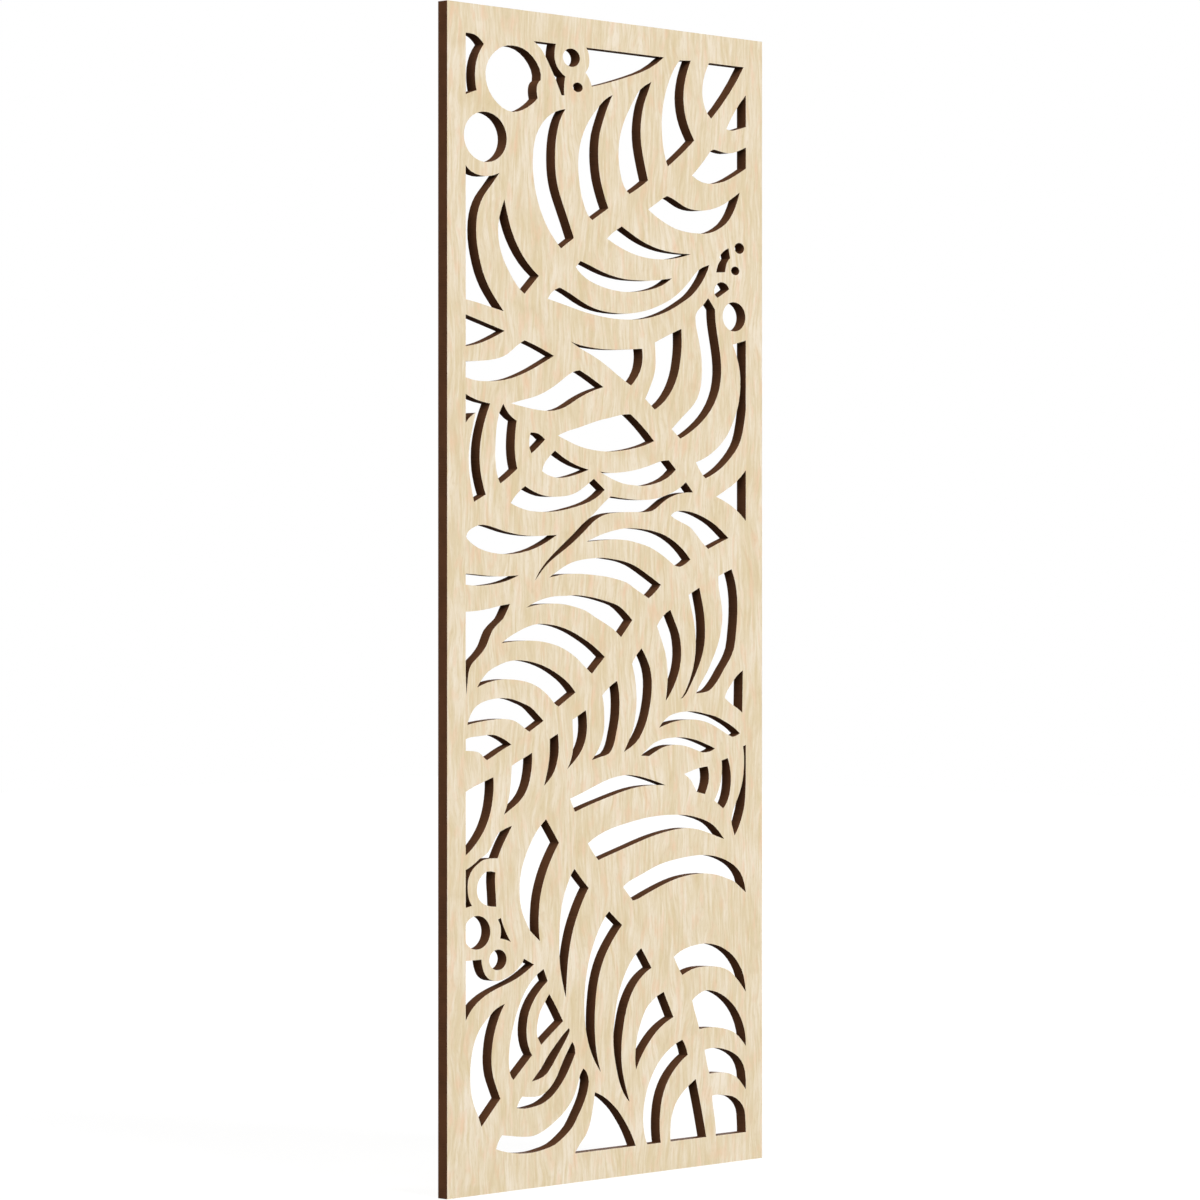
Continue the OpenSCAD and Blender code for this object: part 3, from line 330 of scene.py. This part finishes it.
# %% The figure of the wood
def birch_figure(tree, log):
    """The colour of birch at each place in the log, and the height of its pores."""
    wander = add(tree, "ShaderNodeMapRange", {"Value": patches(tree, log, WANDER_MM, detail=3),
                                              "To Min": -WANDER_ASIDE_MM * MM,
                                              "To Max": WANDER_ASIDE_MM * MM})
    aside = add(tree, "ShaderNodeCombineXYZ", {"X": wander.outputs[0]})
    bent = add(tree, "ShaderNodeVectorMath", {0: log, 1: aside.outputs[0]}, operation="ADD").outputs[0]

    broad = add(tree, "ShaderNodeMapRange", {"Value": patches(tree, bent, BROAD_MM, detail=3),
                                             "From Min": BROAD_NONE, "From Max": BROAD_FULL})
    colour = add(tree, "ShaderNodeMix", {SHARE: broad.outputs[0], UNDER: VENEER_PALE, OVER: VENEER_DEEP},
                 data_type="RGBA").outputs[MIXED]
    streaks = patches(tree, bent, STREAK_MM, detail=4, roughness=0.62)
    colour = tinted(tree, colour, VENEER_DEEP, streaks, STREAK_NONE, STREAK_DEEP_FULL)
    colour = tinted(tree, colour, VENEER_PALE, streaks, STREAK_NONE, STREAK_PALE_FULL)
    flecks = patches(tree, bent, FLECK_MM, detail=2)
    colour = tinted(tree, colour, VENEER_WARM, flecks, FLECK_NONE, FLECK_FULL)

    rings = add(tree, "ShaderNodeMath", {0: patches(tree, bent, RING_MM, detail=0), 1: RING_CROWDING},
                operation="MULTIPLY")
    wave = add(tree, "ShaderNodeMath", {0: rings.outputs[0]}, operation="SINE")
    crests = add(tree, "ShaderNodeMapRange", {"Value": wave.outputs[0], "From Min": RING_NONE,
                                              "From Max": RING_FULL})
    lines = add(tree, "ShaderNodeMath", {0: crests.outputs[0], 1: broad.outputs[0]}, operation="MULTIPLY")
    colour = add(tree, "ShaderNodeMix", {SHARE: lines.outputs[0], UNDER: colour, OVER: VENEER_LINE},
                 data_type="RGBA").outputs[MIXED]
    pores = patches(tree, bent, PORE_MM, detail=1)
    return tinted(tree, colour, VENEER_LINE, pores, PORE_NONE, PORE_FULL), pores


print("growth lines cross a noise of", RING_MM, "mm")

# %% [markdown]
# The face sheet and the back sheet come from different parts of the log, so they don't match. A sheet's
# outer side shows the wood, and all its other sides are cuts that the laser scorched. The material tells
# them apart by their place: only the outer side lies at the outer plane's Y.

# %% The veneer's materials
RIM_MM = 0.02
VENEER_ROUGHNESS = 0.6
VENEER_SHINE = 0.12
PORE_BUMP = 0.25
PORE_DEPTH_MM = 0.03


def veneer(name, outer_plane, start):
    """Birch veneer whose outer face lies at y = outer_plane. start picks the part of the log it is from."""
    # Sanded and left without varnish, birch has only a faint even sheen, and its figure reads as
    # colour rather than as gloss.
    material = bpy.data.materials.new(name)
    tree = new_tree(material)
    place = add(tree, "ShaderNodeTexCoord").outputs["Object"]
    log = add(tree, "ShaderNodeVectorMath", {0: place, 1: start}, operation="ADD").outputs[0]
    wood, pores = birch_figure(tree, log)
    burnt, striae = scorched(tree, place)
    depth = add(tree, "ShaderNodeSeparateXYZ", {0: place}).outputs["Y"]
    outer = add(tree, "ShaderNodeMath", {0: depth, 1: outer_plane, 2: RIM_MM * MM}, operation="COMPARE")
    colour = add(tree, "ShaderNodeMix", {SHARE: outer.outputs[0], UNDER: burnt, OVER: wood},
                 data_type="RGBA").outputs[MIXED]
    matt = add(tree, "ShaderNodeMapRange", {"Value": outer.outputs[0], "To Min": CHAR_ROUGHNESS,
                                            "To Max": VENEER_ROUGHNESS})
    bump = add(tree, "ShaderNodeBump", {"Height": pores, "Strength": PORE_BUMP,
                                        "Distance": PORE_DEPTH_MM * MM})
    shader = add(tree, "ShaderNodeBsdfPrincipled", {"Base Color": colour, "Roughness": matt.outputs[0],
                                                    "Specular IOR Level": VENEER_SHINE,
                                                    "Normal": bump.outputs[0]})
    add(tree, "ShaderNodeOutputMaterial", {"Surface": shader.outputs[0]})
    return material


face_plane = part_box("face_veneer")[0].y
back_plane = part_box("back_veneer")[1].y
sanded_birch_face = veneer("sanded_birch_veneer_face", face_plane, (0, 0, 0))
sanded_birch_back = veneer("sanded_birch_veneer_back", back_plane, (0.4, 0, 0.9))
print("the face lies at y, mm:", round(face_plane / MM, 2), "and the back at", round(back_plane / MM, 2))

# %% [markdown]
# ## The three layers
# The CAD walls are made of short flat facets, and a low light would show each of them. Each layer is
# copied, the doubled corners of its triangles are merged, and its shading runs smoothly round every
# gentle curve while real corners stay crisp. No point moves, so the outline is that of the CAD model.

# %% Smooth and dress the three layers
MERGE_MM = 0.001
CRISP_FROM = 28


def editable_copy(node):
    """A copy of a CAD node's mesh, and the same as a shape to edit, with its doubled corners merged."""
    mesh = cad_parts[node].data.copy()
    mesh.attributes.remove(mesh.attributes["custom_normal"])
    shape = bmesh.new()
    shape.from_mesh(mesh)
    bmesh.ops.remove_doubles(shape, verts=shape.verts, dist=MERGE_MM * MM)
    return mesh, shape


def finished_piece(name, mesh, shape, material):
    """Makes a piece of the shape, smooth up to CRISP_FROM degrees, in this material alone."""
    open_edges = sum(1 for e in shape.edges if len(e.link_faces) != 2)
    shape.to_mesh(mesh)
    shape.free()
    mesh.shade_smooth()
    mesh.set_sharp_from_angle(angle=math.radians(CRISP_FROM))
    mesh.materials.clear()
    mesh.materials.append(material)
    piece = bpy.data.objects.new(name, mesh)
    bpy.context.scene.collection.objects.link(piece)
    print(name, "triangles:", len(mesh.polygons), "open edges:", open_edges)
    return piece


for node, name, material in (("face_veneer", "face_veneer_sheet", sanded_birch_face),
                             ("core", "core_board", scorched_fibreboard),
                             ("back_veneer", "back_veneer_sheet", sanded_birch_back)):
    mesh, shape = editable_copy(node)
    layer = finished_piece(name, mesh, shape, material)
    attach(layer, "root")
    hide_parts(node)

# %% [markdown]
# ## Zinc-plated steel
# The hanger plates are stamped from sheet steel and plated with zinc, which is a cool grey that never
# shines like chrome. The sheet's rolling leaves faint lines along the plate. The screws are plated in
# the same bath, and turned, so they are a little brighter and have a fine grain instead of lines.

# %% Zinc materials
ZINC_CLOUD = linear("#9C9FA3")
ZINC_CLOUD_MM = (3, 3, 3)
CLOUD_NONE, CLOUD_FULL = 0.3, 0.8
ROUGHNESS_SWING = 0.07
ZINC_BUMP = 0.3
ZINC_DEPTH_MM = 0.01
# Rolling lines and plating grain are a few hundredths of a millimetre wide. They are drawn 0.2 and
# 0.4 mm wide, because finer ones wouldn't show.
ROLLING_MM = (0.2, 0.2, 12)
GRAIN_MM = (0.4, 0.4, 0.4)


def zinc_plated(name, hex_colour, roughness, line_mm):
    """Zinc-plated steel, with lines of this size in mm in the plating."""
    # Bright zinc mirrors the light in a broad blurred patch, and its faint clouds keep it from
    # looking like polished steel.
    material = bpy.data.materials.new(name)
    tree = new_tree(material)
    place = add(tree, "ShaderNodeTexCoord").outputs["Object"]
    lines = patches(tree, place, line_mm, detail=3, roughness=0.6)
    cloud = patches(tree, place, ZINC_CLOUD_MM, detail=2)
    colour = tinted(tree, linear(hex_colour), ZINC_CLOUD, cloud, CLOUD_NONE, CLOUD_FULL)
    blur = add(tree, "ShaderNodeMapRange", {"Value": lines, "To Min": roughness - ROUGHNESS_SWING,
                                            "To Max": roughness + ROUGHNESS_SWING})
    bump = add(tree, "ShaderNodeBump", {"Height": lines, "Strength": ZINC_BUMP,
                                        "Distance": ZINC_DEPTH_MM * MM})
    shader = add(tree, "ShaderNodeBsdfPrincipled", {"Base Color": colour, "Metallic": 1,
                                                    "Roughness": blur.outputs[0],
                                                    "Normal": bump.outputs[0]})
    add(tree, "ShaderNodeOutputMaterial", {"Surface": shader.outputs[0]})
    return material


zinc_sheet = zinc_plated("zinc_plated_rolled_steel", "#A3A6AA", 0.27, ROLLING_MM)
zinc_screw = zinc_plated("zinc_plated_turned_steel", "#ABADB0", 0.28, GRAIN_MM)
print("zinc materials:", zinc_sheet.name, zinc_screw.name)

# %% [markdown]
# ## Hanger plates
# A stamped plate never has knife edges: the tool rounds one rim and tumbling takes off the rest. The
# CAD plates have their true outline, keyhole and countersinks, so each is copied, its doubled corners
# are merged, and a small bevel eases every sharp edge. The bevel only takes metal away, so a plate
# still fits its recess.

# %% Ease the plates' edges
EASE_MM = 0.12
EASE_STEPS = 3
FLAT = math.radians(1)
SHARP = math.radians(40)

for side in ("left", "right"):
    mesh, shape = editable_copy(side + "_hanger")
    bmesh.ops.dissolve_limit(shape, angle_limit=FLAT, verts=shape.verts, edges=shape.edges)
    sharp = [e for e in shape.edges if len(e.link_faces) == 2 and e.calc_face_angle() > SHARP]
    bmesh.ops.bevel(shape, geom=sharp, offset=EASE_MM * MM, offset_type="OFFSET", segments=EASE_STEPS,
                    profile=0.5, affect="EDGES", clamp_overlap=True)
    bmesh.ops.triangulate(shape, faces=shape.faces)
    plate = finished_piece(side + "_hanger_plate", mesh, shape, zinc_sheet)
    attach(plate, "root")
    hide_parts(side + "_hanger")

# %% [markdown]
# ## Hanger screws
# Each plate is held by two small slotted wood screws with countersunk heads. One screw is turned as a
# lathe would turn it: rings of points go round the axis, and along the shank their radius also rises
# and falls with the angle, which makes the thread. The shank stays inside its pilot hole.

# %% The screw's sizes
left_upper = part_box("left_upper_screw")
right_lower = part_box("right_lower_screw")
SCREW_MM = (left_upper[1].y - left_upper[0].y) / MM
HEAD_R_MM = (left_upper[1].x - left_upper[0].x) / MM / 2
ROOT_R_MM = 0.85
CREST_R_MM = 1.08
PITCH_MM = 0.8
NECK_MM = 1.2
POINT_MM = 0.9
TIP_SHARE = 0.08
RIDGE_STEEPNESS = 3.4
# Depth and radius of each ring from the head's top down to the neck, in mm. The first two are the
# head's eased rim.
HEAD_RINGS_MM = ((0, HEAD_R_MM - 0.16), (0.03, HEAD_R_MM - 0.1), (0.09, HEAD_R_MM - 0.1),
                 (NECK_MM, ROOT_R_MM))
SIDES = 32
RINGS_PER_PITCH = 8
print("screw length, mm:", round(SCREW_MM, 2), "head across, mm:", round(2 * HEAD_R_MM, 2))


# %% Turn one screw blank
def thread_radius(depth, turn):
    """The shank's radius in mm at this depth and share of a turn, tapering to a point at the end."""
    rise = (depth / PITCH_MM - turn) % 1
    ridge = max(0, 1 - abs(rise - 0.5) * RIDGE_STEEPNESS)
    taper = min(1, max(TIP_SHARE, (SCREW_MM - depth) / POINT_MM))
    return (ROOT_R_MM + (CREST_R_MM - ROOT_R_MM) * ridge) * taper


def ring_of_points(shape, depth, radii):
    """A ring of points round the screw's axis at this depth in mm, with a radius in mm for each side."""
    ring = []
    for side, radius in enumerate(radii):
        angle = 2 * math.pi * side / SIDES
        ring.append(shape.verts.new((radius * math.cos(angle) * MM, -depth * MM,
                                     radius * math.sin(angle) * MM)))
    return ring


def screw_blank():
    """The screw without its slot: its head's top lies at the origin and its point towards -Y."""
    shape = bmesh.new()
    rings = [ring_of_points(shape, depth, [radius] * SIDES) for depth, radius in HEAD_RINGS_MM]
    count = round((SCREW_MM - NECK_MM) / PITCH_MM * RINGS_PER_PITCH)
    for step in range(1, count + 1):
        depth = NECK_MM + (SCREW_MM - NECK_MM) * step / count
        radii = [thread_radius(depth, side / SIDES) for side in range(SIDES)]
        rings.append(ring_of_points(shape, depth, radii))
    for upper, lower in zip(rings, rings[1:]):
        for side in range(SIDES):
            following = (side + 1) % SIDES
            shape.faces.new((upper[side], upper[following], lower[following], lower[side]))
    shape.faces.new(rings[0])
    shape.faces.new(rings[-1])
    bmesh.ops.recalc_face_normals(shape, faces=shape.faces)
    mesh = bpy.data.meshes.new("screw_blank")
    shape.to_mesh(mesh)
    shape.free()
    return mesh


screws = bpy.data.objects.new("hanger_screws", screw_blank())
bpy.context.scene.collection.objects.link(screws)
print("the blank has", len(screws.data.polygons), "faces")

# %% [markdown]
# The four screws repeat, so Geometry Nodes slot one blank and place it at the corners of a grid, each
# with its slot at an angle of its own, as a hand leaves them. The sizes are the tree's named inputs, and
# the distances between the screws come from the boxes of two CAD screws at opposite corners.

# %% The tree that slots and places the screws
first_middle = (left_upper[0] + left_upper[1]) / 2
last_middle = (right_lower[0] + right_lower[1]) / 2
# Name, socket type and value of each input.
INPUTS = {
    "Across": ("NodeSocketFloat", last_middle.x - first_middle.x),
    "Up": ("NodeSocketFloat", first_middle.z - last_middle.z),
    "Height": ("NodeSocketFloat", (first_middle.z + last_middle.z) / 2),
    "Slot length": ("NodeSocketFloat", 6 * MM),
    "Slot depth": ("NodeSocketFloat", 0.5 * MM),
    "Slot width": ("NodeSocketFloat", 0.6 * MM),
    "Seed": ("NodeSocketInt", 5),
    "Finish": ("NodeSocketMaterial", zinc_screw),
}


def screws_tree():
    """A tree that cuts a slot in the blank and puts a copy at each corner of an upright grid."""
    tree = bpy.data.node_groups.new("slotted_screws_in_a_grid", "GeometryNodeTree")
    tree.interface.new_socket("Blank", in_out="INPUT", socket_type="NodeSocketGeometry")
    for name, (kind, _) in INPUTS.items():
        tree.interface.new_socket(name, in_out="INPUT", socket_type=kind)
    tree.interface.new_socket("Screws", in_out="OUTPUT", socket_type="NodeSocketGeometry")
    given = add(tree, "NodeGroupInput").outputs
    # The cutter's middle lies at the head's top, so it is twice as deep as the slot.
    both_sides = add(tree, "ShaderNodeMath", {0: given["Slot depth"], 1: 2.0}, operation="MULTIPLY")
    size = add(tree, "ShaderNodeCombineXYZ", {0: given["Slot length"], 1: both_sides.outputs[0],
                                              2: given["Slot width"]})
    cutter = add(tree, "GeometryNodeMeshCube", {"Size": size.outputs[0]})
    slotted = add(tree, "GeometryNodeMeshBoolean", {0: given["Blank"], 1: cutter.outputs["Mesh"]},
                  operation="DIFFERENCE")
    grid = add(tree, "GeometryNodeMeshGrid", {"Size X": given["Across"], "Size Y": given["Up"],
                                              "Vertices X": 2, "Vertices Y": 2})
    middle = add(tree, "ShaderNodeCombineXYZ", {2: given["Height"]})
    upright = add(tree, "GeometryNodeTransform", {"Geometry": grid.outputs["Mesh"],
                                                  "Translation": middle.outputs[0],
                                                  "Rotation": (math.radians(90), 0, 0)})
    turn = add(tree, "FunctionNodeRandomValue", {0: (0, 0, 0), 1: (0, math.pi, 0), "Seed": given["Seed"]},
               data_type="FLOAT_VECTOR")
    placed = add(tree, "GeometryNodeInstanceOnPoints", {"Points": upright.outputs[0],
                                                        "Instance": slotted.outputs["Mesh"],
                                                        "Rotation": turn.outputs[0]})
    real = add(tree, "GeometryNodeRealizeInstances", {0: placed.outputs[0]})
    finished = add(tree, "GeometryNodeSetMaterial", {0: real.outputs[0], "Material": given["Finish"]})
    add(tree, "NodeGroupOutput", {0: finished.outputs[0]})
    return tree


print("the screws stand", round(INPUTS["Across"][1] / MM, 1), "mm apart across and",
      round(INPUTS["Up"][1] / MM, 1), "mm up")

# %% Make the four screws
SCREW_CRISP_FROM = 35

modifier = screws.modifiers.new("screws", "NODES")
modifier.node_group = screws_tree()
sockets = {s.name: s.identifier for s in modifier.node_group.interface.items_tree if s.in_out == "INPUT"}
for name, (_, value) in INPUTS.items():
    modifier[sockets[name]] = value
evaluated = screws.evaluated_get(bpy.context.evaluated_depsgraph_get())
mesh = bpy.data.meshes.new_from_object(evaluated)
screws.modifiers.clear()
# The result has an empty material slot before the zinc's, so every face is put on one slot of zinc.
mesh.polygons.foreach_set("material_index", [0] * len(mesh.polygons))
mesh.materials.clear()
mesh.materials.append(zinc_screw)
mesh.shade_smooth()
mesh.set_sharp_from_angle(angle=math.radians(SCREW_CRISP_FROM))
screws.data = mesh
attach(screws, "root")
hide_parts("left_upper_screw", "left_lower_screw", "right_upper_screw", "right_lower_screw")
print("screws: triangles", sum(len(p.vertices) - 2 for p in mesh.polygons),
      "materials", [m.name for m in mesh.materials])
